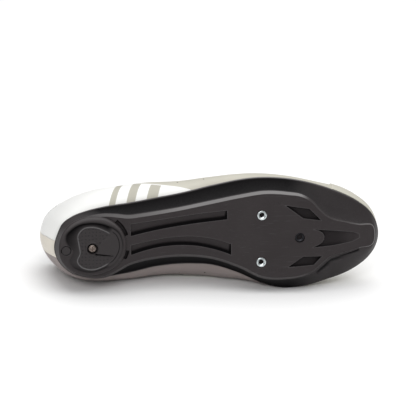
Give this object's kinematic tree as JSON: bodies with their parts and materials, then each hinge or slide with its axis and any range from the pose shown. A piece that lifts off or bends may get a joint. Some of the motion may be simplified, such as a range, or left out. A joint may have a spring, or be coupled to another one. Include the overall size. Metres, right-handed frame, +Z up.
{
  "type": "cycling shoe",
  "caption": "Road cycling shoe for the right foot with a stiff black composite sole, cleat nuts, screwed heel pad and a light grey synthetic upper.",
  "frame": {"origin": "bottom centre of the bounding box, on the floor that the lying shoe rests on", "axes": "+X from heel to toe, -Y the way the sole faces, +Z up from the floor, towards the shoe's outer side"},
  "size_m": [0.2794, 0.0996, 0.093],
  "materials": {
    "sole_composite": "satin",
    "pad_rubber": "matte",
    "steel": "satin",
    "upper_synthetic": "satin",
    "cap_synthetic": "satin",
    "tongue_fabric": "matte",
    "insole_fabric": "matte",
    "strap_fabric": "matte"
  },
  "bodies": {
    "root": {"outsole": "sole_composite", "heel_pad": "pad_rubber", "heel_plug": "pad_rubber", "heel_screw": "steel", "cleat_nut_outer": "steel", "cleat_nut_inner": "steel", "cleat_nut_front": "steel", "upper": "upper_synthetic", "toe_cap": "cap_synthetic", "tongue": "tongue_fabric", "insole": "insole_fabric", "strap_front": "strap_fabric", "strap_rear": "strap_fabric"}
  },
  "joints": []
}
